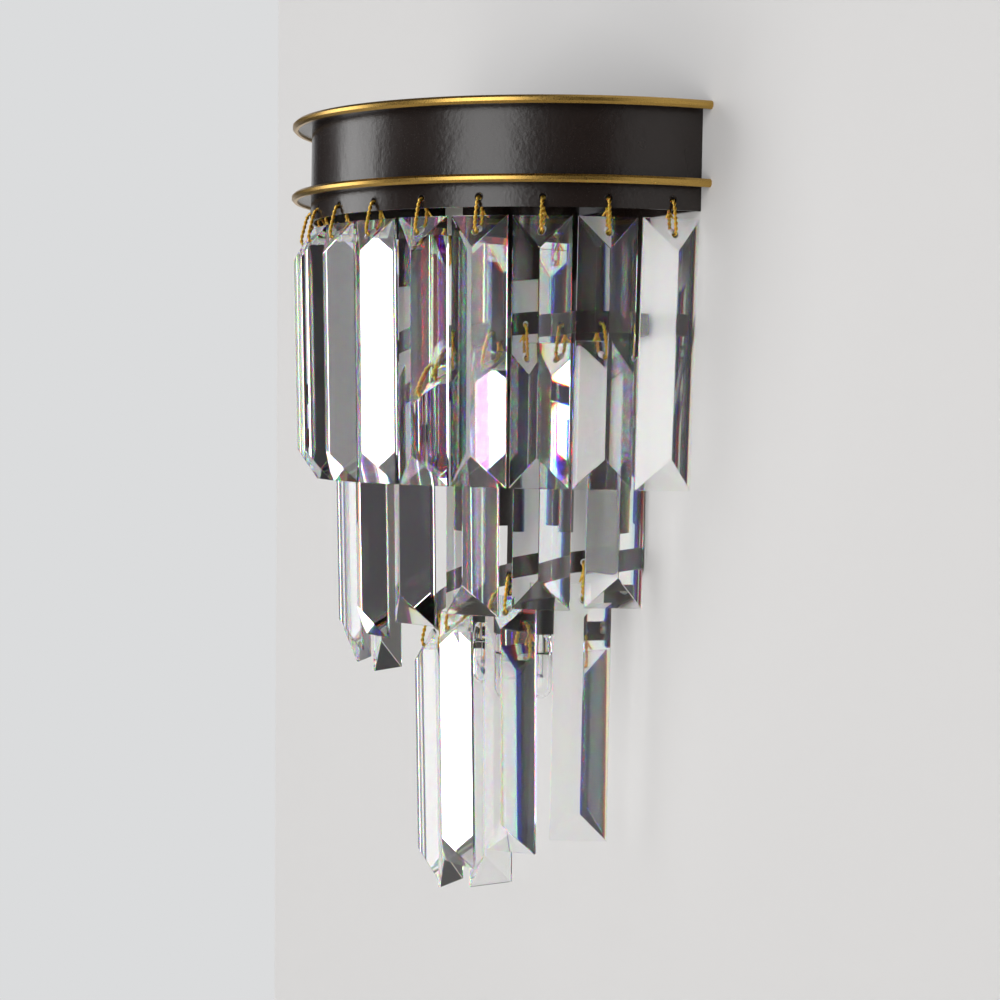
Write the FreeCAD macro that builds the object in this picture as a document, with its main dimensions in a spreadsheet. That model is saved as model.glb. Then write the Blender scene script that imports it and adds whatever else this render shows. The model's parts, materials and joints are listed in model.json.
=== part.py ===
import FreeCAD, Part
import Sketcher
import math
import os

# Half round crystal wall sconce.  Millimetres.  The wall is the plane Y = 0 and the sconce
# stands out of it towards -Y; +X is to the right for someone facing the wall, +Z is up.
# The origin is the middle of the two wall screws, on the wall.  Angles round a tier start
# at its right end, at the wall, and run past the front to its left end.

SIZES = {
    # canopy: the black half drum with its two gold edged flanges
    "canopy_top": 20.0,
    "canopy_depth": 39.7,
    "drum_radius": 107.2,
    "flange_overhang": 6.8,
    "trim_cover": 1.0,
    "sheet": 1.2,
    "flange_sheet": 1.5,
    "trim_height": 3.0,
    "trim_wall": 2.2,
    "trim_round": 0.9,
    "trim_seam": 0.1,
    "lower_flange_lift": 11.3,
    # back plate: a wide top, and two legs down the wall that carry the lower tiers
    "plate_sheet": 1.5,
    "plate_inset": 1.7,
    "fitting_inset": 25.5,
    "leg_beyond_band": 2.0,
    "leg_width": 28.5,
    "leg_corner": 3.0,
    "right_leg_above_three": 11.1,
    "left_leg_above_three": 25.6,
    "window_below_drum": 22.3,
    "tongue_beyond_band": 3.5,
    "tongue_width": 14.0,
    "tongue_below_three": 27.3,
    "top_lip": 14.0,
    "top_lip_half_width": 60.0,
    # wall bar and its screws
    "bar_margin": 41.1,
    "bar_height": 20.0,
    "bar_sheet": 1.5,
    "slot_spacing": 88.9,
    "slot_width": 5.0,
    "slot_length": 12.0,
    "slot_access": 14.0,
    "plate_screw_margin": 27.1,
    "plate_screw_hole": 4.3,
    "plate_screw_shank": 4.0,
    "plate_screw_head": 8.0,
    "plate_screw_head_height": 2.6,
    "cable_hole": 18.0,
    # the wire holes in every band, and the crystals that hang from them
    "wire_hole": 2.6,
    "wire_hole_rise": 3.6,
    "one_gap": 3.1,
    "two_gap": 3.1,
    "three_gap": 4.6,
    "crystal_length": 100.0,
    "crystal_side_gap": 1.95,
    "crystal_depth": 8.9,
    "crystal_edge": 1.0,
    "crystal_bevel": 12.0,
    "crystal_hole": 2.6,
    "crystal_hole_drop": 6.0,
    "pivot_depth": 1.45,
    "crystal_lean_angle": 2.0,
    # wire link: a closed loop through a band hole and a crystal hole
    "wire": 1.2,
    "link_front": 4.7,
    "link_back": 3.5,
    "link_corner": 1.3,
    # tier one: the level ring of the canopy
    "one_count": 14,
    "one_first_angle": 6.1,
    "one_step_angle": 12.9,
    # tier two: a half ring that slopes down to the left, with a straight strap at the wall
    "two_inset": 17.6,
    "two_below_drum": 60.4,
    "two_slope": 0.255,
    "two_rise": 0.07,
    "two_count": 8,
    "two_first_angle": 14.0,
    "two_step_angle": 18.3,
    # tier three: a smaller sloping half ring, set over to the right
    "three_inset": 31.1,
    "three_below_two": 87.5,
    "three_offset": 8.0,
    "three_slope": 0.333,
    "three_rise": 0.0,
    "three_count": 6,
    "three_first_angle": 23.0,
    "three_step_angle": 28.8,
    "three_tab": 14.0,
    # both sloping bands
    "band_height": 8.0,
    "band_screw_hole": 3.2,
    "band_screw_shank": 3.0,
    "band_screw_head": 5.6,
    "band_screw_head_height": 1.8,
    # lamps
    "lamp_inset": 30.5,
    "lamp_from_wall": 24.6,
    "tube_diameter": 24.0,
    "tube_wall": 0.8,
    "tube_above_three": 26.1,
    "nipple": 10.0,
    "nipple_bore": 6.0,
    "nipple_length": 8.0,
    "nipple_clearance": 0.2,
    "nut_across_flats": 14.0,
    "nut_height": 3.0,
    "holder_diameter": 10.8,
    "holder_collar": 18.0,
    "holder_length": 40.5,
    "capsule_diameter": 9.4,
    "capsule_length": 25.6,
    "pin": 0.8,
    "pin_spacing": 4.0,
    "pin_length": 7.0,
    # lamp bracket inside the drum
    "bracket_sheet": 1.5,
    "bracket_beyond_lamp": 9.0,
    "bracket_screw_inset": 3.0,
    "bracket_drop": 18.0,
    "bracket_reach": 39.0,
    "bracket_leg": 17.0,
    # connections inside the drum
    "block_length": 32.0,
    "block_height": 12.0,
    "block_depth": 14.0,
    "block_drop": 31.0,
    "block_way": 8.0,
    "lead": 2.4,
}

doc = FreeCAD.newDocument("crystal_wall_sconce")
sheet = doc.addObject("Spreadsheet::Sheet", "sizes")
for row, (alias, number) in enumerate(SIZES.items(), start=1):
    sheet.set("A%d" % row, alias)
    sheet.set("B%d" % row, str(number))
    sheet.setAlias("B%d" % row, alias)
doc.recompute()


class Dim:
    """A number together with the spreadsheet formula that gives it."""

    def __init__(self, value, formula):
        self.value = float(value)
        self.formula = formula

    def _with(self, other, sign, result):
        other = as_dim(other)
        return Dim(result(self.value, other.value), "(%s %s %s)" % (self.formula, sign, other.formula))

    def __add__(self, other):
        return self._with(other, "+", lambda a, b: a + b)

    def __radd__(self, other):
        return as_dim(other) + self

    def __sub__(self, other):
        return self._with(other, "-", lambda a, b: a - b)

    def __rsub__(self, other):
        return as_dim(other) - self

    def __mul__(self, other):
        return self._with(other, "*", lambda a, b: a * b)

    def __rmul__(self, other):
        return as_dim(other) * self

    def __truediv__(self, other):
        return self._with(other, "/", lambda a, b: a / b)

    def __neg__(self):
        return Dim(-self.value, "(0 - %s)" % self.formula)


def as_dim(number):
    """A plain number joins a formula as itself."""
    return number if isinstance(number, Dim) else Dim(number, repr(number))


TIED = {}


def size(alias):
    """The size of that name: one of the spreadsheet's own, or one tied to them."""
    return TIED[alias] if alias in TIED else Dim(SIZES[alias], "sizes." + alias)


def cosine(degrees):
    """The cosine of an angle in degrees."""
    return Dim(math.cos(math.radians(degrees.value)), "cos(%s * 1 deg)" % degrees.formula)


def sine(degrees):
    """The sine of an angle in degrees."""
    return Dim(math.sin(math.radians(degrees.value)), "sin(%s * 1 deg)" % degrees.formula)


# radii and widths that follow the drum
TIED["flange_radius"] = size("drum_radius") + size("flange_overhang")
TIED["trim_radius"] = size("flange_radius") + size("trim_cover")
TIED["plate_half_width"] = size("drum_radius") - size("plate_inset")
TIED["block_from_centre"] = size("plate_half_width") - size("fitting_inset")
TIED["earth_from_centre"] = size("block_from_centre")
TIED["two_radius"] = size("drum_radius") - size("two_inset")
TIED["three_radius"] = size("two_radius") - size("three_inset")
TIED["leg_outer"] = size("three_offset") + size("three_radius") + size("leg_beyond_band")
TIED["leg_inner"] = size("leg_outer") - size("leg_width")
TIED["tongue_outer"] = size("three_radius") - size("three_offset") + size("tongue_beyond_band")
TIED["tongue_inner"] = size("tongue_outer") - size("tongue_width")
TIED["lamp_half_spacing"] = size("three_radius") - size("lamp_inset")
TIED["bracket_half_width"] = size("lamp_half_spacing") + size("bracket_beyond_lamp")
TIED["bracket_screw_spacing"] = (size("lamp_half_spacing") - size("bracket_screw_inset")) * 2
# neighbours in tier one hang side by side with a small gap between them
TIED["crystal_width"] = ((size("drum_radius") - size("sheet") / 2) * sine(size("one_step_angle") / 2) * 2
                         - size("crystal_side_gap"))

# drops below the top of the canopy, each from the part above it
TIED["lower_flange_drop"] = size("canopy_depth") - size("lower_flange_lift")
TIED["window_drop"] = size("canopy_depth") + size("window_below_drum")
TIED["two_drop"] = size("canopy_depth") + size("two_below_drum")
TIED["three_drop"] = size("two_drop") + size("three_below_two")
TIED["right_leg_drop"] = size("three_drop") - size("right_leg_above_three")
TIED["left_leg_drop"] = size("three_drop") - size("left_leg_above_three")
TIED["tongue_drop"] = size("three_drop") + size("tongue_below_three")
TIED["tube_bottom_drop"] = size("three_drop") - size("tube_above_three")
TIED["holder_bottom_drop"] = size("tube_bottom_drop") + size("holder_length")
TIED["capsule_bottom_drop"] = size("holder_bottom_drop") + size("capsule_length")

# the wall bar, and the screws that hold the back plate outside its slots
TIED["bar_length"] = size("slot_spacing") + size("bar_margin")
TIED["plate_screw_spacing"] = size("slot_spacing") + size("plate_screw_margin")


def bind(thing, prop, dim):
    """Tie one property of an object to a formula."""
    thing.setExpression(prop, dim.formula)


def height(drop):
    """The height of something that lies `drop` below the top of the canopy."""
    return size("canopy_top") - drop


def new_body(label):
    """A named body; its pads and pockets follow."""
    body = doc.addObject("PartDesign::Body", label)
    body.Label = label
    return body


def sketch_on(body, plane, offset=None, rise=None, turn=None):
    """A sketch on one of the body's origin planes, lifted off it or turned about Z if asked."""
    role = {"XY": "XY_Plane", "XZ": "XZ_Plane", "YZ": "YZ_Plane"}[plane]
    support = [item for item in body.Origin.OriginFeatures if item.Role == role][0]
    sketch = body.newObject("Sketcher::SketchObject", body.Label + "_sketch")
    sketch.AttachmentSupport = [(support, "")]
    sketch.MapMode = "FlatFace"
    if rise is not None:
        sketch.AttachmentOffset = FreeCAD.Placement(FreeCAD.Vector(0, 0, rise.value), FreeCAD.Rotation())
        bind(sketch, "AttachmentOffset.Base.z", rise)
    if turn is not None:
        # a plane that holds the Z axis, turned about it: its sketch y is Z
        sketch.AttachmentOffset = FreeCAD.Placement(
            FreeCAD.Vector(), FreeCAD.Rotation(FreeCAD.Vector(0, 1, 0), turn.value))
        bind(sketch, "AttachmentOffset.Rotation.Angle", turn)
    return sketch


def hold(sketch, geo, point, x, y):
    """Pin one point of a sketch to two sizes, measured from the sketch's origin."""
    for kind, dim in (("DistanceX", x), ("DistanceY", y)):
        dim = as_dim(dim)
        if abs(dim.value) < 1e-9:
            axis = -2 if kind == "DistanceX" else -1
            sketch.addConstraint(Sketcher.Constraint("PointOnObject", geo, point, axis))
        elif dim.value > 0:
            index = sketch.addConstraint(Sketcher.Constraint(kind, -1, 1, geo, point, dim.value))
            bind(sketch, "Constraints[%d]" % index, dim)
        else:
            index = sketch.addConstraint(Sketcher.Constraint(kind, geo, point, -1, 1, -dim.value))
            bind(sketch, "Constraints[%d]" % index, -dim)


def polygon(sketch, corners):
    """A closed outline of straight lines, each corner pinned to its sizes."""
    corners = [(as_dim(x), as_dim(y)) for x, y in corners]
    first = sketch.GeometryCount
    count = len(corners)
    for i in range(count):
        a = corners[i]
        b = corners[(i + 1) % count]
        sketch.addGeometry(Part.LineSegment(FreeCAD.Vector(a[0].value, a[1].value, 0),
                                            FreeCAD.Vector(b[0].value, b[1].value, 0)))
    for i in range(count):
        sketch.addConstraint(Sketcher.Constraint("Coincident", first + i, 2, first + (i + 1) % count, 1))
    for i in range(count):
        hold(sketch, first + i, 1, corners[i][0], corners[i][1])


def circle(sketch, x, y, diameter):
    """A circle of that diameter about a pinned centre."""
    x, y, diameter = as_dim(x), as_dim(y), as_dim(diameter)
    geo = sketch.addGeometry(Part.Circle(FreeCAD.Vector(x.value, y.value, 0), FreeCAD.Vector(0, 0, 1),
                                         diameter.value / 2))
    index = sketch.addConstraint(Sketcher.Constraint("Diameter", geo, diameter.value))
    bind(sketch, "Constraints[%d]" % index, diameter)
    hold(sketch, geo, 3, x, y)


def hexagon(sketch, x, y, radius):
    """A hexagon about a centre, out to that radius at its corners."""
    polygon(sketch, [(x + radius * cosine(as_dim(60 * i)), y + radius * sine(as_dim(60 * i)))
                     for i in range(6)])


def small_round(sketch, x, y, diameter, sides=8):
    """A small hole or shank: a many sided outline of that size across its flats, which keeps it light."""
    step = 360 / sides
    reach = as_dim(diameter) / 2 / cosine(as_dim(step / 2))
    turns = [as_dim(step * (i + 0.5)) for i in range(sides)]
    polygon(sketch, [(as_dim(x) + reach * cosine(turn), as_dim(y) + reach * sine(turn)) for turn in turns])


def slot(sketch, x, y, length, width):
    """A level round ended slot, from two half circles and two lines."""
    half = (length - width) / 2
    radius = width / 2
    first = sketch.GeometryCount
    left = FreeCAD.Vector((x - half).value, y.value, 0)
    right = FreeCAD.Vector((x + half).value, y.value, 0)
    up = FreeCAD.Vector(0, 0, 1)
    side = FreeCAD.Vector(0, radius.value, 0)
    sketch.addGeometry(Part.ArcOfCircle(Part.Circle(left, up, radius.value), math.pi / 2, 3 * math.pi / 2))
    sketch.addGeometry(Part.LineSegment(left - side, right - side))
    sketch.addGeometry(Part.ArcOfCircle(Part.Circle(right, up, radius.value), -math.pi / 2, math.pi / 2))
    sketch.addGeometry(Part.LineSegment(right + side, left + side))
    for a, end_a, b, end_b in ((0, 2, 1, 1), (1, 2, 2, 1), (2, 2, 3, 1), (3, 2, 0, 1)):
        sketch.addConstraint(Sketcher.Constraint("Tangent", first + a, end_a, first + b, end_b))
    index = sketch.addConstraint(Sketcher.Constraint("Radius", first, radius.value))
    bind(sketch, "Constraints[%d]" % index, radius)
    hold(sketch, first, 3, x - half, y)
    hold(sketch, first + 2, 3, x + half, y)


def half_disc(sketch, centre_x, radius, front):
    """The half disc of that radius in front of the line y = -front; front is a positive size."""
    # the chord meets the circle where x squared and front squared add up to the radius squared
    reach = Dim(math.sqrt(radius.value ** 2 - front.value ** 2),
                "sqrt(%s * %s - %s * %s)" % (radius.formula, radius.formula, front.formula, front.formula))
    start = math.atan2(-front.value, -reach.value)
    end = math.atan2(-front.value, reach.value)
    centre = FreeCAD.Vector(centre_x.value, 0, 0)
    arc = sketch.addGeometry(Part.ArcOfCircle(Part.Circle(centre, FreeCAD.Vector(0, 0, 1), radius.value),
                                              start, end))
    left = FreeCAD.Vector(centre_x.value - reach.value, -front.value, 0)
    right = FreeCAD.Vector(centre_x.value + reach.value, -front.value, 0)
    line = sketch.addGeometry(Part.LineSegment(right, left))
    sketch.addConstraint(Sketcher.Constraint("Coincident", arc, 2, line, 1))
    sketch.addConstraint(Sketcher.Constraint("Coincident", line, 2, arc, 1))
    sketch.addConstraint(Sketcher.Constraint("Horizontal", line))
    hold(sketch, arc, 3, centre_x, 0)
    index = sketch.addConstraint(Sketcher.Constraint("Radius", arc, radius.value))
    bind(sketch, "Constraints[%d]" % index, radius)
    index = sketch.addConstraint(Sketcher.Constraint("DistanceY", line, 1, -1, 1, front.value))
    bind(sketch, "Constraints[%d]" % index, front)


def pad(body, sketch, length, reverse=False):
    """Pad a sketch by a size."""
    feature = body.newObject("PartDesign::Pad", body.Label + "_pad")
    feature.Profile = sketch
    feature.Length = length.value
    bind(feature, "Length", length)
    feature.Reversed = reverse
    sketch.Visibility = False
    return feature


def pocket(body, sketch, length=None, reverse=False, both=False):
    """Pocket a sketch by a size, or through everything if no size is given."""
    feature = body.newObject("PartDesign::Pocket", body.Label + "_pocket")
    feature.Profile = sketch
    if length is None:
        feature.Type = "ThroughAll"
    else:
        feature.Length = length.value
        bind(feature, "Length", length)
    feature.Reversed = reverse
    feature.Midplane = both
    sketch.Visibility = False
    return feature


def half_turn(body, sketch):
    """Carry an outline in the XZ plane round the Z axis, from +X past the front to -X."""
    feature = body.newObject("PartDesign::Revolution", body.Label + "_turn")
    feature.Profile = sketch
    feature.ReferenceAxis = (sketch, ["V_Axis"])
    feature.Angle = 180
    feature.Reversed = True
    sketch.Visibility = False
    return feature


def around(body, feature, count, span):
    """Repeat a feature about the body's Z axis, over an angle that runs from +X to the front."""
    doc.recompute()
    axis = [item for item in body.Origin.OriginFeatures if item.Role == "Z_Axis"][0]
    pattern = body.newObject("PartDesign::PolarPattern", body.Label + "_pattern")
    pattern.Originals = [feature]
    pattern.Axis = (axis, [""])
    pattern.Reversed = True
    pattern.Angle = span.value
    bind(pattern, "Angle", span)
    pattern.Occurrences = int(count.value)
    bind(pattern, "Occurrences", count)
    body.Tip = pattern
    return pattern


def rounded(body, feature, edges, radius):
    """Round the named edges of a feature."""
    fillet = body.newObject("PartDesign::Fillet", body.Label + "_round")
    fillet.Base = (feature, edges)
    fillet.Radius = radius.value
    bind(fillet, "Radius", radius)
    return fillet


def bevelled(body, feature, edges, width):
    """Cut the named edges of a feature at 45 degrees."""
    cut = body.newObject("PartDesign::Chamfer", body.Label + "_bevel")
    cut.Base = (feature, edges)
    cut.Size = width.value
    bind(cut, "Size", width)
    return cut


def edges_where(feature, test):
    """The names of the feature's edges that pass a test."""
    doc.recompute()
    return ["Edge%d" % i for i, edge in enumerate(feature.Shape.Edges, start=1) if test(edge)]


# ---------------------------------------------------------------- tiers

class Tier:
    """Where one tier's band lies and how its crystals are set out."""

    def __init__(self, name):
        self.name = name
        self.count = SIZES[name + "_count"]
        self.first = size(name + "_first_angle")
        self.step = size(name + "_step_angle")
        level = name == "one"
        self.radius = size("drum_radius") if level else size(name + "_radius")
        self.centre = size("three_offset") if name == "three" else as_dim(0)
        self.slope = as_dim(0) if level else size(name + "_slope")
        self.rise = as_dim(0) if level else size(name + "_rise")
        self.gap = size(name + "_gap")

    def angle(self, index):
        """The angle of one crystal from the right end of the tier."""
        return self.first + self.step * index

    def point(self, index, radius):
        """X and Y of a point at that radius, on one crystal's line."""
        angle = self.angle(index)
        return self.centre + radius * cosine(angle), -(radius * sine(angle))

    def band_bottom(self, x, y):
        """The height of the band's lower edge over a point of the floor plan."""
        if self.name == "one":
            return height(size("canopy_depth"))
        return height(size(self.name + "_drop") + size("band_height")) + self.slope * x - self.rise * y

    def hole_place(self, index):
        """The centre of one wire hole, in the middle of the band's sheet."""
        x, y = self.point(index, self.radius - size("sheet") / 2)
        return x, y, self.band_bottom(x, y) + size("wire_hole_rise")

    def pivot_place(self, index):
        """The point that one crystal hangs and swings about, under its wire hole."""
        x, y, z = self.hole_place(index)
        return x, y, z - size("wire_hole_rise") - self.gap - size("crystal_hole_drop")


TIERS = [Tier("one"), Tier("two"), Tier("three")]


# ---------------------------------------------------------------- canopy

def make_drum():
    """The upright half round sheet of the canopy, with the row of wire holes along its foot."""
    body = new_body("drum_band")
    sketch = sketch_on(body, "XZ")
    outer = size("drum_radius")
    inner = outer - size("sheet")
    top = height(size("trim_height") / 2 + size("flange_sheet") / 2)
    foot = height(size("canopy_depth"))
    polygon(sketch, [(inner, foot), (outer, foot), (outer, top), (inner, top)])
    half_turn(body, sketch)
    tier = TIERS[0]
    hole = sketch_on(body, "XZ", turn=as_dim(90) - tier.first)
    small_round(hole, 0, foot + size("wire_hole_rise"), size("wire_hole"))
    bore = pocket(body, hole, reverse=True)
    around(body, bore, size("one_count"), tier.step * (size("one_count") - 1))
    return body


def make_top_plate():
    """The half disc that closes the top; its edge sits in the gold trim."""
    body = new_body("top_plate")
    rise = height(size("trim_height") / 2 + size("flange_sheet") / 2)
    sketch = sketch_on(body, "XY", rise=rise)
    half_disc(sketch, as_dim(0), size("flange_radius"), as_dim(0.2))
    pad(body, sketch, size("flange_sheet"))
    screws = sketch_on(body, "XY", rise=rise)
    for side in (-1, 1):
        small_round(screws, size("top_lip_half_width") * side * 0.75, -(size("top_lip") * 0.6),
                    size("band_screw_shank"))
    pocket(body, screws, both=True)
    return body


def trim_ring(label, middle_drop):
    """A half round gold edging with a groove that takes the edge of a flange sheet."""
    body = new_body(label)
    sketch = sketch_on(body, "XZ")
    outer = size("trim_radius")
    inner = outer - size("trim_wall")
    groove = size("flange_radius") + size("trim_seam") * 0
    half = size("trim_height") / 2
    slit = size("flange_sheet") / 2
    middle = height(middle_drop)
    corner = size("trim_round")
    polygon(sketch, [(inner, middle - half), (outer - corner, middle - half),
                     (outer, middle - half + corner), (outer, middle + half - corner),
                     (outer - corner, middle + half), (inner, middle + half),
                     (inner, middle + slit), (groove, middle + slit),
                     (groove, middle - slit), (inner, middle - slit)])
    half_turn(body, sketch)
    return body


def make_lower_flange():
    """The flat half ring round the drum, a little above the wire holes."""
    body = new_body("lower_flange")
    middle = height(size("lower_flange_drop") + size("trim_height") / 2)
    half = size("flange_sheet") / 2
    sketch = sketch_on(body, "XZ")
    inner = size("drum_radius")
    outer = size("flange_radius")
    polygon(sketch, [(inner, middle - half), (outer, middle - half),
                     (outer, middle + half), (inner, middle + half)])
    half_turn(body, sketch)
    return body


# ---------------------------------------------------------------- wall side

def make_wall_bar():
    """The slotted bar that is screwed to the wall box first."""
    body = new_body("wall_bar")
    sketch = sketch_on(body, "XZ")
    half = size("bar_length") / 2
    tall = size("bar_height") / 2
    polygon(sketch, [(-half, -tall), (half, -tall), (half, tall), (-half, tall)])
    pad(body, sketch, size("bar_sheet"))
    holes = sketch_on(body, "XZ")
    for side in (-1, 1):
        slot(holes, size("slot_spacing") / 2 * side, as_dim(0), size("slot_length"), size("slot_width"))
        small_round(holes, size("plate_screw_spacing") / 2 * side, 0, size("plate_screw_shank"))
    circle(holes, 0, 0, size("nipple") + size("nipple_clearance") * 2)
    pocket(body, holes, both=True)
    return body


def make_back_plate():
    """The black back plate: wide behind the drum, then two legs down the wall.

    The left leg ends in a narrow tongue that reaches the low end of tier three.
    """
    body = new_body("back_plate")
    sketch = sketch_on(body, "XZ", rise=size("bar_sheet"))
    wide = size("plate_half_width")
    top = height(size("trim_height") / 2 + size("flange_sheet") / 2)
    shoulder = height(size("canopy_depth"))
    outer = size("leg_outer")
    inner = size("leg_inner")
    web = height(size("window_drop"))
    right_foot = height(size("right_leg_drop"))
    left_foot = height(size("left_leg_drop"))
    tongue_out = size("tongue_outer")
    tongue_in = size("tongue_inner")
    tongue_foot = height(size("tongue_drop"))
    polygon(sketch, [(-wide, top), (-wide, shoulder), (-outer, shoulder), (-outer, left_foot),
                     (-tongue_out, left_foot), (-tongue_out, tongue_foot), (-tongue_in, tongue_foot),
                     (-tongue_in, web), (inner, web), (inner, right_foot), (outer, right_foot),
                     (outer, shoulder), (wide, shoulder), (wide, top)])
    sheet_pad = pad(body, sketch, size("plate_sheet"))

    def foot_corner(edge):
        box = edge.BoundBox
        upright = box.XLength < 0.01 and box.ZLength < 0.01
        low = box.ZMax < (left_foot.value + 0.1)
        inside_tongue = abs(box.ZMax - left_foot.value) < 0.1 and box.XMax > -tongue_out.value - 0.5
        return upright and low and not inside_tongue

    rounded(body, sheet_pad, edges_where(sheet_pad, foot_corner), size("leg_corner"))
    lip = sketch_on(body, "XZ", rise=size("bar_sheet"))
    lip_half = size("top_lip_half_width")
    polygon(lip, [(-lip_half, top - size("plate_sheet")), (lip_half, top - size("plate_sheet")),
                  (lip_half, top), (-lip_half, top)])
    pad(body, lip, size("top_lip"))
    holes = sketch_on(body, "XZ", rise=size("bar_sheet"))
    for side in (-1, 1):
        small_round(holes, size("plate_screw_spacing") / 2 * side, 0, size("plate_screw_hole"))
        small_round(holes, size("bracket_screw_spacing") / 2 * side,
                    height(size("bracket_drop") + size("bracket_leg") * 0.6), size("band_screw_hole"))
        circle(holes, size("slot_spacing") / 2 * side, 0, size("slot_access"))
    circle(holes, 0, 0, size("cable_hole"))
    for x, z in band_screw_places():
        small_round(holes, x, z, size("band_screw_hole"))
    small_round(holes, size("earth_from_centre"), 0, size("band_screw_hole"))
    pocket(body, holes, length=size("plate_sheet"), reverse=True)
    lip_holes = sketch_on(body, "XY", rise=top)
    for side in (-1, 1):
        small_round(lip_holes, size("top_lip_half_width") * side * 0.75, -(size("top_lip") * 0.6),
                    size("band_screw_hole"))
    pocket(body, lip_holes, length=size("plate_sheet"))
    return body


def band_middle(name, x):
    """The height of the middle of a sloping band where it lies along the back plate."""
    front = size("bar_sheet") + size("plate_sheet")
    tier = [tier for tier in TIERS if tier.name == name][0]
    return tier.band_bottom(x, -front) + size("band_height") / 2


def band_screw_places():
    """Where the sloping bands are screwed to the back plate: X and Z of each screw."""
    two_x = (size("leg_outer") + size("leg_inner")) / 2
    right_x = size("three_offset") + size("three_radius") - size("three_tab") * 0.4
    left_x = size("three_offset") - size("three_radius") + size("three_tab") * 0.45
    return [(two_x, band_middle("two", two_x)), (-two_x, band_middle("two", -two_x)),
            (right_x, band_middle("three", right_x)), (left_x, band_middle("three", left_x))]


# ---------------------------------------------------------------- sloping bands

def make_band(tier):
    """A sloping half ring of strip, turned in along the back plate at both ends.

    The strip starts as a solid slab between two parallel sloping planes.  Its inside and its
    outside are then cut to the ring, which leaves the strap along the back plate.
    """
    body = new_body("tier_%s_band" % tier.name)
    front = size("bar_sheet") + size("plate_sheet")
    left = tier.centre - tier.radius
    right = tier.centre + tier.radius
    slab = sketch_on(body, "XZ", rise=front)
    tall = size("band_height")
    polygon(slab, [(left, tier.band_bottom(left, -front)), (right, tier.band_bottom(right, -front)),
                   (right, tier.band_bottom(right, -front) + tall),
                   (left, tier.band_bottom(left, -front) + tall)])
    strip = pad(body, slab, tier.radius)
    strip.UseCustomVector = True
    strip.Direction = FreeCAD.Vector(0, -1, tier.rise.value)
    bind(strip, "Direction.z", tier.rise)
    strip.AlongSketchNormal = True
    outside = sketch_on(body, "XY")
    circle(outside, tier.centre, 0, tier.radius * 2)
    circle(outside, tier.centre, 0, tier.radius * 4)
    pocket(body, outside, both=True)
    inside = sketch_on(body, "XY")
    half_disc(inside, tier.centre, tier.radius - size("sheet"), front + size("sheet"))
    pocket(body, inside, both=True)
    if tier.name == "three":
        # between its two end tabs this band has no strap
        middle = sketch_on(body, "XY")
        tab = size("three_tab")
        back = front + size("sheet") * 1.5
        polygon(middle, [(left + tab, as_dim(0)), (right - tab, as_dim(0)),
                         (right - tab, -back), (left + tab, -back)])
        pocket(body, middle, both=True)
    for index in range(tier.count):
        drill = sketch_on(body, "XZ", turn=as_dim(90) - tier.angle(index))
        # the plane holds the Z axis, so a hole in a ring set aside is drilled along the ring's radius
        if tier.centre.value:
            drill.AttachmentOffset = FreeCAD.Placement(
                FreeCAD.Vector(tier.centre.value, 0, 0),
                FreeCAD.Rotation(FreeCAD.Vector(0, 1, 0), 90 - tier.angle(index).value))
            bind(drill, "AttachmentOffset.Base.x", tier.centre)
            bind(drill, "AttachmentOffset.Rotation.Angle", as_dim(90) - tier.angle(index))
        small_round(drill, 0, tier.hole_place(index)[2], size("wire_hole"))
        pocket(body, drill, reverse=True)
    screws = sketch_on(body, "XZ", rise=front)
    for x, z in band_screw_places():
        if band_of_screw(x, z) == tier.name:
            small_round(screws, x, z, size("band_screw_hole"))
    pocket(body, screws, length=size("sheet") * 1.2, reverse=True)
    return body


def band_of_screw(x, z):
    """Which sloping band a screw holds, from its place in the list of screws."""
    places = [(px.value, pz.value) for px, pz in band_screw_places()]
    index = places.index((x.value, z.value))
    return "two" if index < 2 else "three"


# ---------------------------------------------------------------- crystals and links

def set_place(body, place, turn, lean=None):
    """Stand a body at a place, turned round Z to its tier's angle and leaned inward at its foot."""
    rotation = FreeCAD.Rotation(FreeCAD.Vector(0, 0, 1), -turn.value)
    spin = "rotation(vector(0; 0; 1); 0 - %s)" % turn.formula
    if lean is not None:
        rotation = rotation * FreeCAD.Rotation(FreeCAD.Vector(0, 1, 0), lean.value)
        spin = "%s * rotation(vector(0; 1; 0); %s)" % (spin, lean.formula)
    body.Placement = FreeCAD.Placement(
        FreeCAD.Vector(place[0].value, place[1].value, place[2].value), rotation)
    body.setExpression("Placement", "placement(vector(%s; %s; %s); %s)" % (
        place[0].formula, place[1].formula, place[2].formula, spin))


def make_crystal(label, tier, index):
    """One clear glass prism, with its origin in its hole.

    The back is flat.  Two faces rise from thin side edges to one ridge down the middle of
    the front, and a sloping cut takes the ridge back to the edge at each end.
    """
    body = new_body(label)
    back = -size("pivot_depth")
    edge = back + size("crystal_edge")
    ridge = back + size("crystal_depth")
    half = size("crystal_width") / 2
    top = size("crystal_hole_drop")
    foot = top - size("crystal_length")
    bevel = size("crystal_bevel")
    section = sketch_on(body, "XY", rise=top)
    polygon(section, [(back, -half), (edge, -half), (ridge, 0), (edge, half), (back, half)])
    pad(body, section, size("crystal_length"), reverse=True)
    over = 1.0
    slope = bevel / (ridge - edge)
    ends = sketch_on(body, "XZ")
    polygon(ends, [(edge, top), (ridge + over, top), (ridge + over, top - bevel - slope * over)])
    polygon(ends, [(edge, foot), (ridge + over, foot), (ridge + over, foot + bevel + slope * over)])
    pocket(body, ends, both=True)
    hole = sketch_on(body, "YZ")
    small_round(hole, 0, 0, size("crystal_hole"))
    pocket(body, hole, both=True)
    set_place(body, tier.pivot_place(index), tier.angle(index), size("crystal_lean_angle"))
    return body


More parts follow.
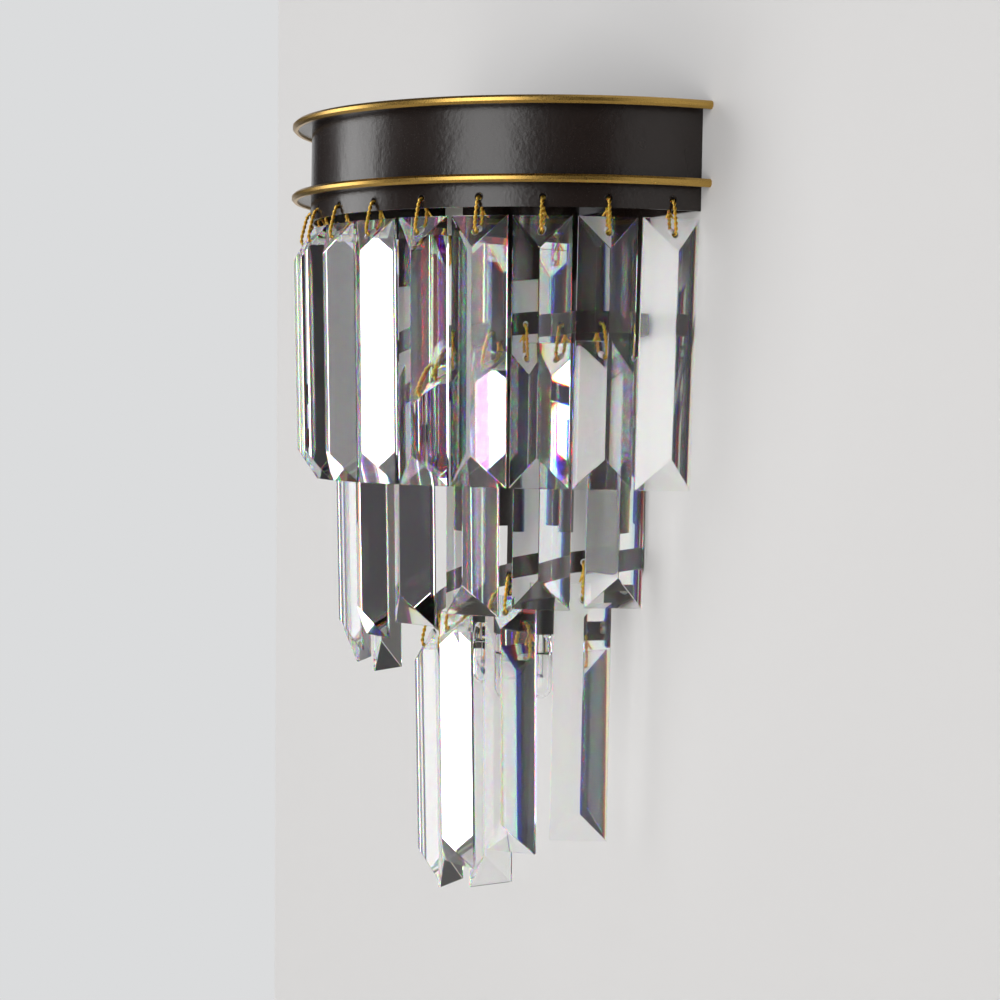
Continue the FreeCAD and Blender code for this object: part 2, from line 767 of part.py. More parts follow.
def make_link(label, tier, index):
    """One wire link: a closed loop with cut corners, down through the band hole and the crystal hole."""
    body = new_body(label)
    path = sketch_on(body, "XZ")
    out = size("link_front")
    back = -size("link_back")
    rise = size("crystal_hole_drop") + tier.gap + size("wire_hole_rise")
    corner = size("link_corner")
    polygon(path, [(0, 0), (out - corner, 0), (out, corner), (out, rise - corner), (out - corner, rise),
                   (back + corner, rise), (back, rise - corner), (back, corner), (back + corner, 0)])
    ring = sketch_on(body, "YZ")
    hexagon(ring, as_dim(0), as_dim(0), size("wire") / 2)
    sweep = body.newObject("PartDesign::AdditivePipe", body.Label + "_wire")
    sweep.Profile = ring
    sweep.Spine = (path, ["Edge%d" % (i + 1) for i in range(9)])
    sweep.Transition = "Right corner"
    path.Visibility = False
    ring.Visibility = False
    set_place(body, tier.pivot_place(index), tier.angle(index))
    return body


def gather(label, pieces):
    """Several separate solids that share one name."""
    group = doc.addObject("Part::Compound", label)
    group.Label = label
    group.Links = pieces
    return group


# ---------------------------------------------------------------- screws

def make_screw(label, shank, head, head_height, length, place, upward=False):
    """A slotted screw; its head's seat is at `place` and it points to the wall, or up."""
    body = new_body(label)
    plane = "XY" if upward else "XZ"
    head_sketch = sketch_on(body, plane)
    small_round(head_sketch, 0, 0, head, sides=12)
    cap = pad(body, head_sketch, head_height)
    cap.TaperAngle = -20
    shank_sketch = sketch_on(body, plane)
    small_round(shank_sketch, 0, 0, shank)
    pad(body, shank_sketch, length, reverse=True)
    drive = sketch_on(body, plane, rise=head_height)
    polygon(drive, [(-head, -(head * 0.07)), (head, -(head * 0.07)), (head, head * 0.07), (-head, head * 0.07)])
    pocket(body, drive, length=head_height * 0.5)
    turn = FreeCAD.Rotation(FreeCAD.Vector(1, 0, 0), 180 if upward else 0)
    body.Placement = FreeCAD.Placement(FreeCAD.Vector(*[as_dim(v).value for v in place]), turn)
    for axis, dim in zip("xyz", place):
        bind(body, "Placement.Base." + axis, as_dim(dim))
    return body


# ---------------------------------------------------------------- lamps

def make_bracket():
    """The folded shelf inside the drum that the two lamp tubes hang from."""
    body = new_body("lamp_bracket")
    front = size("bar_sheet") + size("plate_sheet")
    shelf_top = height(size("bracket_drop"))
    half = size("bracket_half_width")
    fold = sketch_on(body, "YZ")
    sheet_size = size("bracket_sheet")
    foot = shelf_top - size("bracket_leg")
    polygon(fold, [(-front, shelf_top), (-front, foot), (-(front + sheet_size), foot),
                   (-(front + sheet_size), shelf_top - sheet_size),
                   (-size("bracket_reach"), shelf_top - sheet_size), (-size("bracket_reach"), shelf_top)])
    shape = pad(body, fold, half * 2)
    shape.Midplane = True
    holes = sketch_on(body, "XY", rise=shelf_top)
    for side in (-1, 1):
        circle(holes, size("lamp_half_spacing") * side, -size("lamp_from_wall"),
               size("nipple") + size("nipple_clearance") * 2)
    pocket(body, holes, length=sheet_size * 1.5)
    screws = sketch_on(body, "XZ", rise=front)
    for side in (-1, 1):
        small_round(screws, size("bracket_screw_spacing") / 2 * side,
                    height(size("bracket_drop") + size("bracket_leg") * 0.6), size("band_screw_hole"))
    pocket(body, screws, length=sheet_size * 1.5, reverse=True)
    window = sketch_on(body, "XZ", rise=front)
    reach = size("cable_hole") / 2 + sheet_size
    polygon(window, [(-reach, foot), (reach, foot), (reach, shelf_top - sheet_size),
                     (-reach, shelf_top - sheet_size)])
    pocket(body, window, length=sheet_size, reverse=True)
    return body


def lamp_centre(side):
    """X and Y of a lamp's axis; side is 1 for the right lamp and -1 for the left."""
    return size("lamp_half_spacing") * side, -size("lamp_from_wall")


def make_tube(label, side):
    """A black lamp tube with a closed top and the hollow nipple that hangs it from the shelf."""
    body = new_body(label)
    x, y = lamp_centre(side)
    top = height(size("bracket_drop") + size("bracket_sheet"))
    foot = height(size("tube_bottom_drop"))
    outer = sketch_on(body, "XY", rise=foot)
    circle(outer, x, y, size("tube_diameter"))
    barrel = pad(body, outer, top - foot)
    rim = edges_where(barrel, lambda edge: edge.Closed and edge.BoundBox.ZMin > top.value - 0.1)
    bevelled(body, barrel, rim, size("tube_wall"))
    bore = sketch_on(body, "XY", rise=foot)
    circle(bore, x, y, size("tube_diameter") - size("tube_wall") * 2)
    pocket(body, bore, length=top - foot - size("bracket_sheet"), reverse=True)
    neck = sketch_on(body, "XY", rise=top)
    circle(neck, x, y, size("nipple"))
    pad(body, neck, size("nipple_length"))
    wire_way = sketch_on(body, "XY", rise=top)
    circle(wire_way, x, y, size("nipple_bore"))
    pocket(body, wire_way, both=True)
    return body


def make_nut(label, side):
    """The hexagon nut on top of the shelf."""
    body = new_body(label)
    x, y = lamp_centre(side)
    outline = sketch_on(body, "XY", rise=height(size("bracket_drop")))
    hexagon(outline, x, y, size("nut_across_flats") / 2 / cosine(as_dim(30)))
    pad(body, outline, size("nut_height"))
    bore = sketch_on(body, "XY", rise=height(size("bracket_drop")))
    circle(bore, x, y, size("nipple"))
    pocket(body, bore, both=True)
    return body


def make_holder(label, side):
    """The lamp holder: a collar gripped inside the tube, and a slim barrel below with two pin holes."""
    body = new_body(label)
    x, y = lamp_centre(side)
    joint = height(size("tube_bottom_drop"))
    foot = height(size("holder_bottom_drop"))
    collar = sketch_on(body, "XY", rise=joint)
    circle(collar, x, y, size("tube_diameter") - size("tube_wall") * 2)
    pad(body, collar, size("holder_collar"))
    barrel = sketch_on(body, "XY", rise=joint)
    circle(barrel, x, y, size("holder_diameter"))
    pad(body, barrel, joint - foot, reverse=True)
    pins = sketch_on(body, "XY", rise=foot)
    for hand in (-1, 1):
        hexagon(pins, x + size("pin_spacing") / 2 * hand, y, size("pin") / 2)
    pocket(body, pins, length=size("pin_length"), reverse=True)
    return body


def make_capsule(label, side):
    """The clear glass lamp, a small cylinder with a round end."""
    body = new_body(label)
    x, y = lamp_centre(side)
    seat = height(size("holder_bottom_drop"))
    foot = height(size("capsule_bottom_drop"))
    outline = sketch_on(body, "XY", rise=foot)
    circle(outline, x, y, size("capsule_diameter"))
    glass = pad(body, outline, seat - foot)
    rim = edges_where(glass, lambda edge: edge.Closed and edge.BoundBox.ZMax < foot.value + 0.1)
    bevelled(body, glass, rim, size("capsule_diameter") * 0.28)
    return body


def make_pin(label, side, hand):
    """One contact pin of a lamp."""
    body = new_body(label)
    x, y = lamp_centre(side)
    outline = sketch_on(body, "XY", rise=height(size("holder_bottom_drop")))
    hexagon(outline, x + size("pin_spacing") / 2 * hand, y, size("pin") / 2)
    pad(body, outline, size("pin_length"))
    return body


# ---------------------------------------------------------------- wiring inside the drum

def make_block():
    """The terminal block on the back plate, with three ways through it."""
    body = new_body("terminal_block")
    front = size("bar_sheet") + size("plate_sheet")
    base = sketch_on(body, "XZ", rise=front)
    x = -size("block_from_centre")
    z = height(size("block_drop"))
    half = size("block_length") / 2
    tall = size("block_height") / 2
    polygon(base, [(x - half, z - tall), (x + half, z - tall), (x + half, z + tall), (x - half, z + tall)])
    pad(body, base, size("block_depth"))
    ways = sketch_on(body, "XZ", rise=front + size("block_depth"))
    for place in (-1, 0, 1):
        small_round(ways, x + size("block_way") * place, z, size("block_way") * 0.55)
    pocket(body, ways, length=size("block_depth") * 0.4)
    entries = sketch_on(body, "XY", rise=z + tall)
    for place in (-1, 0, 1):
        small_round(entries, x + size("block_way") * place, -(front + size("block_depth") * 0.35),
                    size("lead"))
    pocket(body, entries, length=size("block_height") * 0.3)
    return body


def make_lead(label, side, way):
    """A wire from a way of the terminal block, over the shelf and down into a lamp tube."""
    front = size("bar_sheet") + size("plate_sheet")
    x0 = -size("block_from_centre") + size("block_way") * way
    y0 = -(front + size("block_depth") * 0.35)
    z0 = height(size("block_drop")) + size("block_height") / 2 - size("block_height") * 0.3
    x1, y1 = lamp_centre(side)
    z1 = height(size("bracket_drop")) + size("nipple_length") * 0.4
    over = height(size("bracket_drop")) + size("nipple_length") + size("lead")
    y2 = y0 - size("lead") * 2 * way
    fifth = (x1 - x0) / 5
    points = [(x0, y0, z0), (x0, y0, z0 + 6), (x0 + fifth / 3, y2, over), (x0 + fifth, y2, over),
              (x1 - fifth, y2, over), (x1 - fifth / 3, y1, over + 1), (x1, y1, over + 1),
              (x1, y1, z1 + 2), (x1, y1, z1 - 3)]
    corners = [FreeCAD.Vector(*[as_dim(v).value for v in point]) for point in points]
    route = Part.makePolygon(corners)
    first = corners[0]
    radius = SIZES["lead"] / 2
    ring = [first + FreeCAD.Vector(radius * math.cos(i * math.pi / 4), radius * math.sin(i * math.pi / 4), 0)
            for i in range(8)]
    section = Part.makePolygon(ring + ring[:1])
    wire = doc.addObject("Part::Feature", label)
    wire.Shape = route.makePipeShell([section], True, False, 1)
    wire.Label = label
    return wire


# ---------------------------------------------------------------- the whole sconce

nodes = []
nodes.append(make_wall_bar())
nodes.append(make_back_plate())
nodes.append(make_drum())
nodes.append(make_top_plate())
nodes.append(trim_ring("top_trim", size("trim_height") / 2))
nodes.append(make_lower_flange())
nodes.append(trim_ring("lower_trim", size("lower_flange_drop") + size("trim_height") / 2))
nodes.append(make_band(TIERS[1]))
nodes.append(make_band(TIERS[2]))
nodes.append(make_bracket())

plate_front = size("bar_sheet") + size("plate_sheet")
plate_screws = []
band_screws = []
bracket_screws = []
top_screws = []
for hand in (-1, 1):
    plate_screws.append(make_screw(
        "plate_screw", size("plate_screw_shank"), size("plate_screw_head"),
        size("plate_screw_head_height"), plate_front,
        (size("plate_screw_spacing") / 2 * hand, -plate_front, as_dim(0))))
    bracket_screws.append(make_screw(
        "bracket_screw", size("band_screw_shank"), size("band_screw_head"),
        size("band_screw_head_height"), size("bracket_sheet") + size("plate_sheet"),
        (size("bracket_screw_spacing") / 2 * hand, -(plate_front + size("bracket_sheet")),
         height(size("bracket_drop") + size("bracket_leg") * 0.6))))
    top_screws.append(make_screw(
        "top_screw", size("band_screw_shank"), size("band_screw_head"),
        size("band_screw_head_height"), size("flange_sheet") + size("plate_sheet"),
        (size("top_lip_half_width") * hand * 0.75, -(size("top_lip") * 0.6),
         height(size("trim_height") / 2 + size("flange_sheet") / 2 + size("plate_sheet"))), upward=True))
for x, z in band_screw_places():
    band_screws.append(make_screw(
        "band_screw", size("band_screw_shank"), size("band_screw_head"),
        size("band_screw_head_height"), size("sheet") + size("plate_sheet"),
        (x, -(plate_front + size("sheet")), z)))
earth_screw = make_screw(
    "earth_screw", size("band_screw_shank"), size("band_screw_head"), size("band_screw_head_height"),
    size("plate_sheet"), (size("earth_from_centre"), -plate_front, as_dim(0)))
nodes.append(gather("plate_screws", plate_screws))
nodes.append(gather("bracket_screws", bracket_screws))
nodes.append(gather("band_screws", band_screws))
nodes.append(gather("top_screws", top_screws))
nodes.append(earth_screw)

tube_nuts = []
pins = []
for name, hand in (("right", 1), ("left", -1)):
    nodes.append(make_tube("lamp_tube_" + name, hand))
    nodes.append(make_holder("lamp_holder_" + name, hand))
    nodes.append(make_capsule("lamp_capsule_" + name, hand))
    tube_nuts.append(make_nut("tube_nut", hand))
    pins.append(make_pin("lamp_pin", hand, -1))
    pins.append(make_pin("lamp_pin", hand, 1))
nodes.append(gather("tube_nuts", tube_nuts))
nodes.append(gather("lamp_pins", pins))
nodes.append(make_block())
nodes.append(gather("lamp_leads", [make_lead("lamp_lead", 1, 1), make_lead("lamp_lead", -1, 0)]))

for tier in TIERS:
    links = []
    for index in range(tier.count):
        nodes.append(make_crystal("tier_%s_crystal_%02d" % (tier.name, index + 1), tier, index))
        links.append(make_link("link", tier, index))
    nodes.append(gather("tier_%s_links" % tier.name, links))

doc.recompute()
for item in doc.Objects:
    faults = [word for word in item.State if word in ("Invalid", "Error")]
    if faults:
        raise RuntimeError("%s is %s" % (item.Name, faults))
os.makedirs("parts", exist_ok=True)
for node in nodes:
    if node.Shape.isNull() or not node.Shape.isValid():
        raise RuntimeError("%s has no valid shape" % node.Label)
    node.Shape.exportStep("parts/%s.step" % node.Label)
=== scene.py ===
"""Looks of the half round crystal wall sconce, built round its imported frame.  Metres, +Z up.

The wall is Y = 0 and the sconce stands out of it towards -Y.
"""

import json
import math

import bpy
import numpy as np
from mathutils import Matrix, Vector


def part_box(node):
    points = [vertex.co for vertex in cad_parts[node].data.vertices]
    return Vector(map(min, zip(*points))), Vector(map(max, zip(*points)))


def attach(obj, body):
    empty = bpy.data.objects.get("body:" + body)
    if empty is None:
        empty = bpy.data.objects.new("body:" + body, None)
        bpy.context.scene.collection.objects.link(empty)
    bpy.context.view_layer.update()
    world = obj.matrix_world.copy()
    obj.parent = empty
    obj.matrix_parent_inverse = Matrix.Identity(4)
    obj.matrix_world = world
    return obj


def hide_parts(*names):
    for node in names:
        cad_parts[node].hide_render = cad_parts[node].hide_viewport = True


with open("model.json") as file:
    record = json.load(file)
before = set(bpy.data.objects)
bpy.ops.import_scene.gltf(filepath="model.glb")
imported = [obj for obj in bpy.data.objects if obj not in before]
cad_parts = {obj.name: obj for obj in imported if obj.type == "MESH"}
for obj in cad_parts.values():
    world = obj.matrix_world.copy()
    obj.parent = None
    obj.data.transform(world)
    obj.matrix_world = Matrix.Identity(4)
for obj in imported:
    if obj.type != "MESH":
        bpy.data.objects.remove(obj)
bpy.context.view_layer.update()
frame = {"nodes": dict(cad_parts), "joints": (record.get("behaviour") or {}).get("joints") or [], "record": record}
MM = 0.001


# ------------------------------------------------------------------ shader words

class Num:
    """A number socket: arithmetic on it adds Math nodes to its material."""

    def __init__(self, paint, socket):
        self.paint = paint
        self.socket = socket

    def _math(self, operation, first, second):
        return self.paint.node("ShaderNodeMath", {"operation": operation}, {0: first, 1: second})

    def __add__(self, other):
        return self._math("ADD", self, other)

    def __mul__(self, other):
        return self._math("MULTIPLY", self, other)

    def or_higher(self, other):
        return self._math("MAXIMUM", self, other)


class Paint:
    """A material and the words that fill it."""

    def __init__(self, name):
        self.material = bpy.data.materials.new(name)
        self.material.use_nodes = True
        self.tree = self.material.node_tree
        self.tree.nodes.clear()
        self.out = self.tree.nodes.new("ShaderNodeOutputMaterial")

    def node(self, kind, settings=None, inputs=None, output=0):
        """Add a node: its settings first, then the values or links of its sockets."""
        made = self.tree.nodes.new(kind)
        for key, value in (settings or {}).items():
            setattr(made, key, value)
        for key, value in (inputs or {}).items():
            if isinstance(value, Num):
                self.tree.links.new(value.socket, made.inputs[key])
            else:
                made.inputs[key].default_value = value
        return Num(self, made.outputs[output])

    def place(self):
        """Object coordinates, in metres."""
        return self.node("ShaderNodeTexCoord", output="Object")

    def noise(self, scale, detail, rough):
        """Noise from 0 to 1; scale is in waves per metre."""
        return self.node("ShaderNodeTexNoise", {}, {
            "Vector": self.place(), "Scale": scale, "Detail": detail, "Roughness": rough})

    def between(self, value, low, high, floor=0.0, top=1.0):
        """Carry value from the span low..high to floor..top, held at both ends."""
        return self.node("ShaderNodeMapRange", {"clamp": True}, {
            "Value": value, "From Min": low, "From Max": high, "To Min": floor, "To Max": top})

    def mix(self, share, one, two):
        """One colour where share is 0, the other where it is 1."""
        return self.node("ShaderNodeMix", {"data_type": "RGBA"}, {0: share, 6: one, 7: two}, output=2)

    def bump(self, height, distance, strength=1.0, under=None):
        """A normal from a height; distance is in metres."""
        inputs = {"Strength": strength, "Distance": distance, "Height": height}
        if under is not None:
            inputs["Normal"] = under
        return self.node("ShaderNodeBump", {}, inputs)

    def glass(self, colour, bend):
        """A polished glass shader of one index."""
        return self.node("ShaderNodeBsdfGlass", {}, {"Color": colour, "Roughness": 0.0, "IOR": bend})

    def surface(self, shader):
        """Make a shader the look of the material."""
        self.tree.links.new(shader.socket, self.out.inputs["Surface"])
        return self.material


def rgb(red, green, blue):
    """A colour as a shader takes it, from its 0-255 screen numbers."""
    def linear(value):
        value = value / 255.0
        return value / 12.92 if value <= 0.04045 else ((value + 0.055) / 1.055) ** 2.4
    return (linear(red), linear(green), linear(blue), 1.0)


# ------------------------------------------------------------------ finishes

# the colours that bend apart, the two plain indices, and the shares of rainbow and of straight light
WHITE = (1, 1, 1, 1)
BENDS = (((1, 0, 0, 1), 1.508), ((0, 1, 0, 1), 1.525), ((0, 0, 1, 1), 1.546))
CRYSTAL_BEND, LAMP_BEND = 1.525, 1.46
RAINBOW_SHARE = 0.3
STRAIGHT_THROUGH = 0.88


def black_satin():
    """Satin black-brown spray paint with fine orange peel and a little dust."""
    paint = Paint("black_satin_paint")
    peel = paint.noise(620.0, 2.0, 0.55)
    waves = paint.noise(160.0, 1.0, 0.4)
    cloud = paint.noise(14.0, 3.0, 0.6)
    dust = paint.between(paint.noise(2600.0, 1.0, 0.5), 0.70, 0.78)
    normal = paint.bump(peel, 0.00016, 0.4, under=paint.bump(waves, 0.0004, 0.22))
    colour = paint.mix(cloud, rgb(30, 21, 17), rgb(37, 28, 24))
    colour = paint.mix(dust * 0.10, colour, rgb(120, 112, 108))
    rough = paint.between(cloud, 0.3, 0.7, 0.22, 0.28) + dust * 0.15
    return paint.surface(paint.node("ShaderNodeBsdfPrincipled", {}, {
        "Base Color": colour, "Roughness": rough, "Normal": normal, "IOR": 1.5}))


def gold_satin(name="gold_satin", base=(200, 162, 86)):
    """Satin gold plating, brushed very lightly, with slightly darker patches."""
    paint = Paint(name)
    cloud = paint.noise(60.0, 3.0, 0.6)
    fine = paint.noise(2200.0, 2.0, 0.6)
    colour = paint.mix(cloud, rgb(*base), rgb(*[int(v * 0.88) for v in base]))
    rough = paint.between(fine, 0.3, 0.7, 0.24, 0.36)
    return paint.surface(paint.node("ShaderNodeBsdfPrincipled", {}, {
        "Base Color": colour, "Metallic": 1.0, "Roughness": rough,
        "Normal": paint.bump(fine, 0.00002, 0.3)}))


def lit_through(paint, glass):
    """Glass with a faint shadow: most light between a matt surface and a lamp goes straight through."""
    shadow = paint.node("ShaderNodeLightPath", output="Is Shadow Ray")
    from_matt = paint.node("ShaderNodeLightPath", output="Is Diffuse Ray")
    clear = paint.node("ShaderNodeBsdfTransparent")
    share = shadow.or_higher(from_matt) * STRAIGHT_THROUGH
    return paint.surface(paint.node("ShaderNodeMixShader", {}, {0: share, 1: glass, 2: clear}))


def cut_glass():
    """Clear cut glass; red, green and blue bend by slightly different amounts, which shows as a rainbow."""
    paint = Paint("cut_glass")
    red, green, blue = (paint.glass(colour, bend) for colour, bend in BENDS)
    pair = paint.node("ShaderNodeAddShader", {}, {0: red, 1: green})
    rainbow = paint.node("ShaderNodeAddShader", {}, {0: pair, 1: blue})
    plain_glass = paint.glass(WHITE, CRYSTAL_BEND)
    return lit_through(paint, paint.node("ShaderNodeMixShader", {}, {
        0: RAINBOW_SHARE, 1: plain_glass, 2: rainbow}))


def frosted_bore():
    """The ground, unpolished wall of a drilled hole in glass."""
    paint = Paint("frosted_bore")
    grain = paint.noise(3000.0, 2.0, 0.6)
    return paint.surface(paint.node("ShaderNodeBsdfPrincipled", {}, {
        "Base Color": paint.mix(grain, rgb(236, 238, 236), rgb(214, 218, 216)), "Roughness": 0.6,
        "Normal": paint.bump(grain, 0.00005, 0.5)}))


def lamp_glass():
    """Thin clear lamp glass."""
    paint = Paint("lamp_glass")
    return lit_through(paint, paint.glass(WHITE, LAMP_BEND))


def plain(name, colour, rough, metal=0.0, grain=900.0, depth=0.00005):
    """A moulded or rolled surface with a fine grain."""
    paint = Paint(name)
    fine = paint.noise(grain, 2.0, 0.6)
    cloud = paint.noise(40.0, 2.0, 0.5)
    dark = tuple(v * 0.85 for v in colour[:3]) + (1.0,)
    return paint.surface(paint.node("ShaderNodeBsdfPrincipled", {}, {
        "Base Color": paint.mix(cloud, colour, dark), "Metallic": metal,
        "Roughness": paint.between(fine, 0.3, 0.7, rough * 0.85, rough * 1.15),
        "Normal": paint.bump(fine, depth, 0.4)}))


BLACK = black_satin()
GOLD = gold_satin()
GOLD_WIRE = gold_satin("gold_wire", (242, 198, 92))
GLASS = cut_glass()
BORE = frosted_bore()
LAMP_GLASS = lamp_glass()
BLACK_PLASTIC = plain("black_holder_plastic", rgb(30, 29, 29), 0.45)
WHITE_PLASTIC = plain("white_block_plastic", rgb(222, 220, 212), 0.5)
LEAD_COVER = plain("lead_cover", rgb(110, 84, 66), 0.5)
STEEL = plain("bare_steel", rgb(168, 168, 170), 0.38, metal=1.0, grain=1800.0, depth=0.00002)
BRASS = plain("brass", rgb(196, 164, 96), 0.35, metal=1.0, grain=1800.0, depth=0.00002)
FINISH = {"black_metal": BLACK, "gold_metal": GOLD, "crystal_glass": GLASS, "lamp_glass": LAMP_GLASS,
          "black_plastic": BLACK_PLASTIC, "white_plastic": WHITE_PLASTIC, "lead_cover": LEAD_COVER,
          "bare_steel": STEEL, "brass": BRASS}
SLOT_OF = {part["node"]: part["material_slot"] for part in frame["record"]["subparts"]}
for name, thing in frame["nodes"].items():
    thing.data.materials.clear()
    thing.data.materials.append(FINISH[SLOT_OF[name]])


# ------------------------------------------------------------------ shapes

def make_piece(name, points, faces, finish, body, *nodes, smooth=True):
    """Put computed points and faces into a mesh that rides on a body and stands for CAD nodes."""
    mesh = bpy.data.meshes.new(name)
    mesh.from_pydata(points.tolist(), [], faces)
    mesh.materials.append(finish)
    mesh.update()
    if smooth:
        mesh.polygons.foreach_set("use_smooth", np.ones(len(mesh.polygons), dtype=bool))
    thing = bpy.data.objects.new(name, mesh)
    bpy.context.scene.collection.objects.link(thing)
    if nodes:
        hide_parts(*nodes)
    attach(thing, body)
    return thing


def grid_faces(rows, columns, wrap_rows=False, wrap_columns=True):
    """Four sided faces of a grid of rows by columns, closed on itself where asked."""
    r = np.arange(rows if wrap_rows else rows - 1)[:, None]
    c = np.arange(columns if wrap_columns else columns - 1)[None, :]
    a = r * columns + c
    b = r * columns + (c + 1) % columns
    d = ((r + 1) % rows) * columns + c
    e = ((r + 1) % rows) * columns + (c + 1) % columns
    return np.stack([a, b, e, d], axis=-1).reshape(-1, 4)


def capped(rows, columns):
    """Faces of a tube of that many rings, with both its ends closed."""
    last = (rows - 1) * columns
    return grid_faces(rows, columns).tolist() + [list(range(columns))[::-1], list(range(last, last + columns))]


def tube_along(path, side, lift, radius, around=8, turns=0.0, offset=0.0, phase=0.0):
    """A round wire carried along a path.

    Its centre stands off the path by `offset`, at an angle that grows from `phase` by `turns`
    whole turns; side and lift are the two unit directions across the path at each point.
    A ring of `around` points stands across each point of the path.
    """
    step = np.arange(len(path))[:, None] / len(path)
    swing = 2 * math.pi * turns * step + phase
    centre = path + offset * (np.cos(swing) * side + np.sin(swing) * lift)
    angle = np.arange(around) * 2 * math.pi / around
    ring = np.cos(angle)[None, :, None] * side[:, None, :] + np.sin(angle)[None, :, None] * lift[:, None, :]
    return (centre[:, None, :] + radius * ring).reshape(-1, 3)


class Parts:
    """Points and faces gathered from several simple shapes into one piece."""

    def __init__(self):
        self.points = []
        self.faces = []
        self.total = 0

    def add(self, points, faces):
        """Append a shape; its faces count from its own first point."""
        self.points.append(points)
        self.faces += [tuple(int(i) + self.total for i in face) for face in faces]
        self.total += len(points)

    def piece(self, name, finish, body, *nodes, smooth=True):
        """Make the gathered shapes one piece."""
        return make_piece(name, np.concatenate(self.points), self.faces, finish, body, *nodes, smooth=smooth)


# ------------------------------------------------------------------ crystals

TIERS = ("one", "two", "three")
LENGTH, WIDTH, DEPTH = 100.0 * MM, 22.0 * MM, 8.9 * MM
EDGE, BEVEL, HOLE = 1.0 * MM, 12.0 * MM, 2.6 * MM
HOLE_DROP, PIVOT_DEPTH = 6.0 * MM, 1.45 * MM
LEAN = math.radians(2.0)
CHAMFER = 0.35 * MM
GROUND_ANGLE = math.radians(12)
BORE_SIDES = 24


def hanging_frame(joint, lean=0.0):
    """Origin, and the outward, sideways and upward directions, at a crystal's hole."""
    sideways = -np.array(joint["axis"])
    level = np.cross(sideways, (0.0, 0.0, 1.0))
    upright = np.array((0.0, 0.0, 1.0))
    outward = level * math.cos(lean) - upright * math.sin(lean)
    return np.array(joint["pos_m"]), outward, sideways, upright * math.cos(lean) + level * math.sin(lean)


def holed_face(corners, ring, corner_at, ring_at):
    """Split a flat face round a hole: one face per side, from two corners to the hole's arc between them."""
    across = len(corners)
    middle = ring.mean(axis=0)
    nearest = [int(np.argmax((ring - middle) @ (corner - middle) / np.linalg.norm(ring - middle, axis=1)))
               for corner in corners]
    faces = []
    for i in range(across):
        start, end = nearest[i], nearest[(i + 1) % across]
        steps = (end - start) % len(ring)
        arc = [ring_at + (start + k) % len(ring) for k in range(steps, -1, -1)]
        faces.append([corner_at[i], corner_at[(i + 1) % across]] + arc)
    return faces


def prism_mesh():
    """The drilled prism with its hole at the origin: x outward, y sideways, z up.

    The back is flat, two faces rise from thin side edges to a ridge, and a three cornered cut
    takes the ridge back to the edge at each end.  The hole runs along x.
    """
    back = -PIVOT_DEPTH
    edge, ridge = back + EDGE, back + DEPTH
    half, top, foot = WIDTH / 2, HOLE_DROP, HOLE_DROP - LENGTH
    corners = np.array([(back, -half, top), (back, half, top), (back, half, foot), (back, -half, foot),
                        (edge, -half, top), (edge, half, top), (edge, half, foot), (edge, -half, foot),
                        (ridge, 0, top - BEVEL), (ridge, 0, foot + BEVEL)])
    turn = np.arange(BORE_SIDES) * 2 * math.pi / BORE_SIDES
    y, z = HOLE / 2 * np.cos(turn), HOLE / 2 * np.sin(turn)
    behind = np.stack([np.full(BORE_SIDES, back), y, z], axis=1)
    before = np.stack([edge + (top - z) * (ridge - edge) / BEVEL, y, z], axis=1)
    points = np.concatenate([corners, behind, before])
    faces = [[4, 7, 9, 8], [6, 5, 8, 9], [7, 6, 9], [0, 4, 5, 1], [3, 2, 6, 7], [0, 3, 7, 4], [1, 5, 6, 2]]
    behind_at = len(corners)
    before_at = behind_at + BORE_SIDES
    # anticlockwise as seen from in front: the top cut, then the back, which faces the other way
    faces += holed_face(corners[[4, 8, 5]], before, [4, 8, 5], before_at)
    flat = holed_face(corners[[0, 3, 2, 1]], behind, [0, 3, 2, 1], behind_at)
    faces += [face[::-1] for face in flat]
    bore_from = len(faces)
    for i in range(BORE_SIDES):
        j = (i + 1) % BORE_SIDES
        faces.append([behind_at + j, behind_at + i, before_at + i, before_at + j])
    return points, faces, bore_from


def make_crystals():
    """Every crystal: the prism with finely ground edges and a frosted bore, on its own hinge."""
    points, faces, bore_from = prism_mesh()
    for joint in frame["joints"]:
        node = joint["child"]
        origin, outward, sideways, upward = hanging_frame(joint, LEAN)
        placed = origin + points @ np.stack([outward, sideways, upward])
        prism = make_piece(node + "_cut", placed, faces, GLASS, node, node, smooth=False)
        prism.data.materials.append(BORE)
        index = np.zeros(len(faces), dtype=np.int32)
        index[bore_from:] = 1
        prism.data.polygons.foreach_set("material_index", index)
        ground = prism.modifiers.new("ground_edges", "BEVEL")
        ground.width, ground.segments, ground.limit_method = CHAMFER, 1, "ANGLE"
        ground.angle_limit = GROUND_ANGLE


# ------------------------------------------------------------------ wire loops and punched holes

GAP = {"one": 3.1 * MM, "two": 3.1 * MM, "three": 4.6 * MM}
HOLE_RISE = 3.6 * MM
# a loop's wire radius, its drop under the hole's centre, its reach at its foot and the share lost at its top,
# the spacing and turns of its two strands, and where the cut ends start, how long they are and how they splay
WIRE = 0.4 * MM
SAG = 0.3 * MM
FRONT_REACH, FRONT_TAPER = 4.9 * MM, 0.62
REAR_REACH, REAR_TAPER = 3.7 * MM, 0.35
STRANDS_APART, WIRE_TURNS = 0.94, 9.0
KNOT_BACK, KNOT_HEIGHT = 3.1 * MM, 0.72
TAILS = ((1.0, 5.6 * MM), (-1.0, 4.2 * MM))
TAIL_RINGS, SPLAY, SPLAY_VARIES = 7, 24, 9
RIM_RADIUS, RIM_WIRE, RIM_RINGS = 1.5 * MM, 0.2 * MM, 24
BAND_HALF = 0.6 * MM


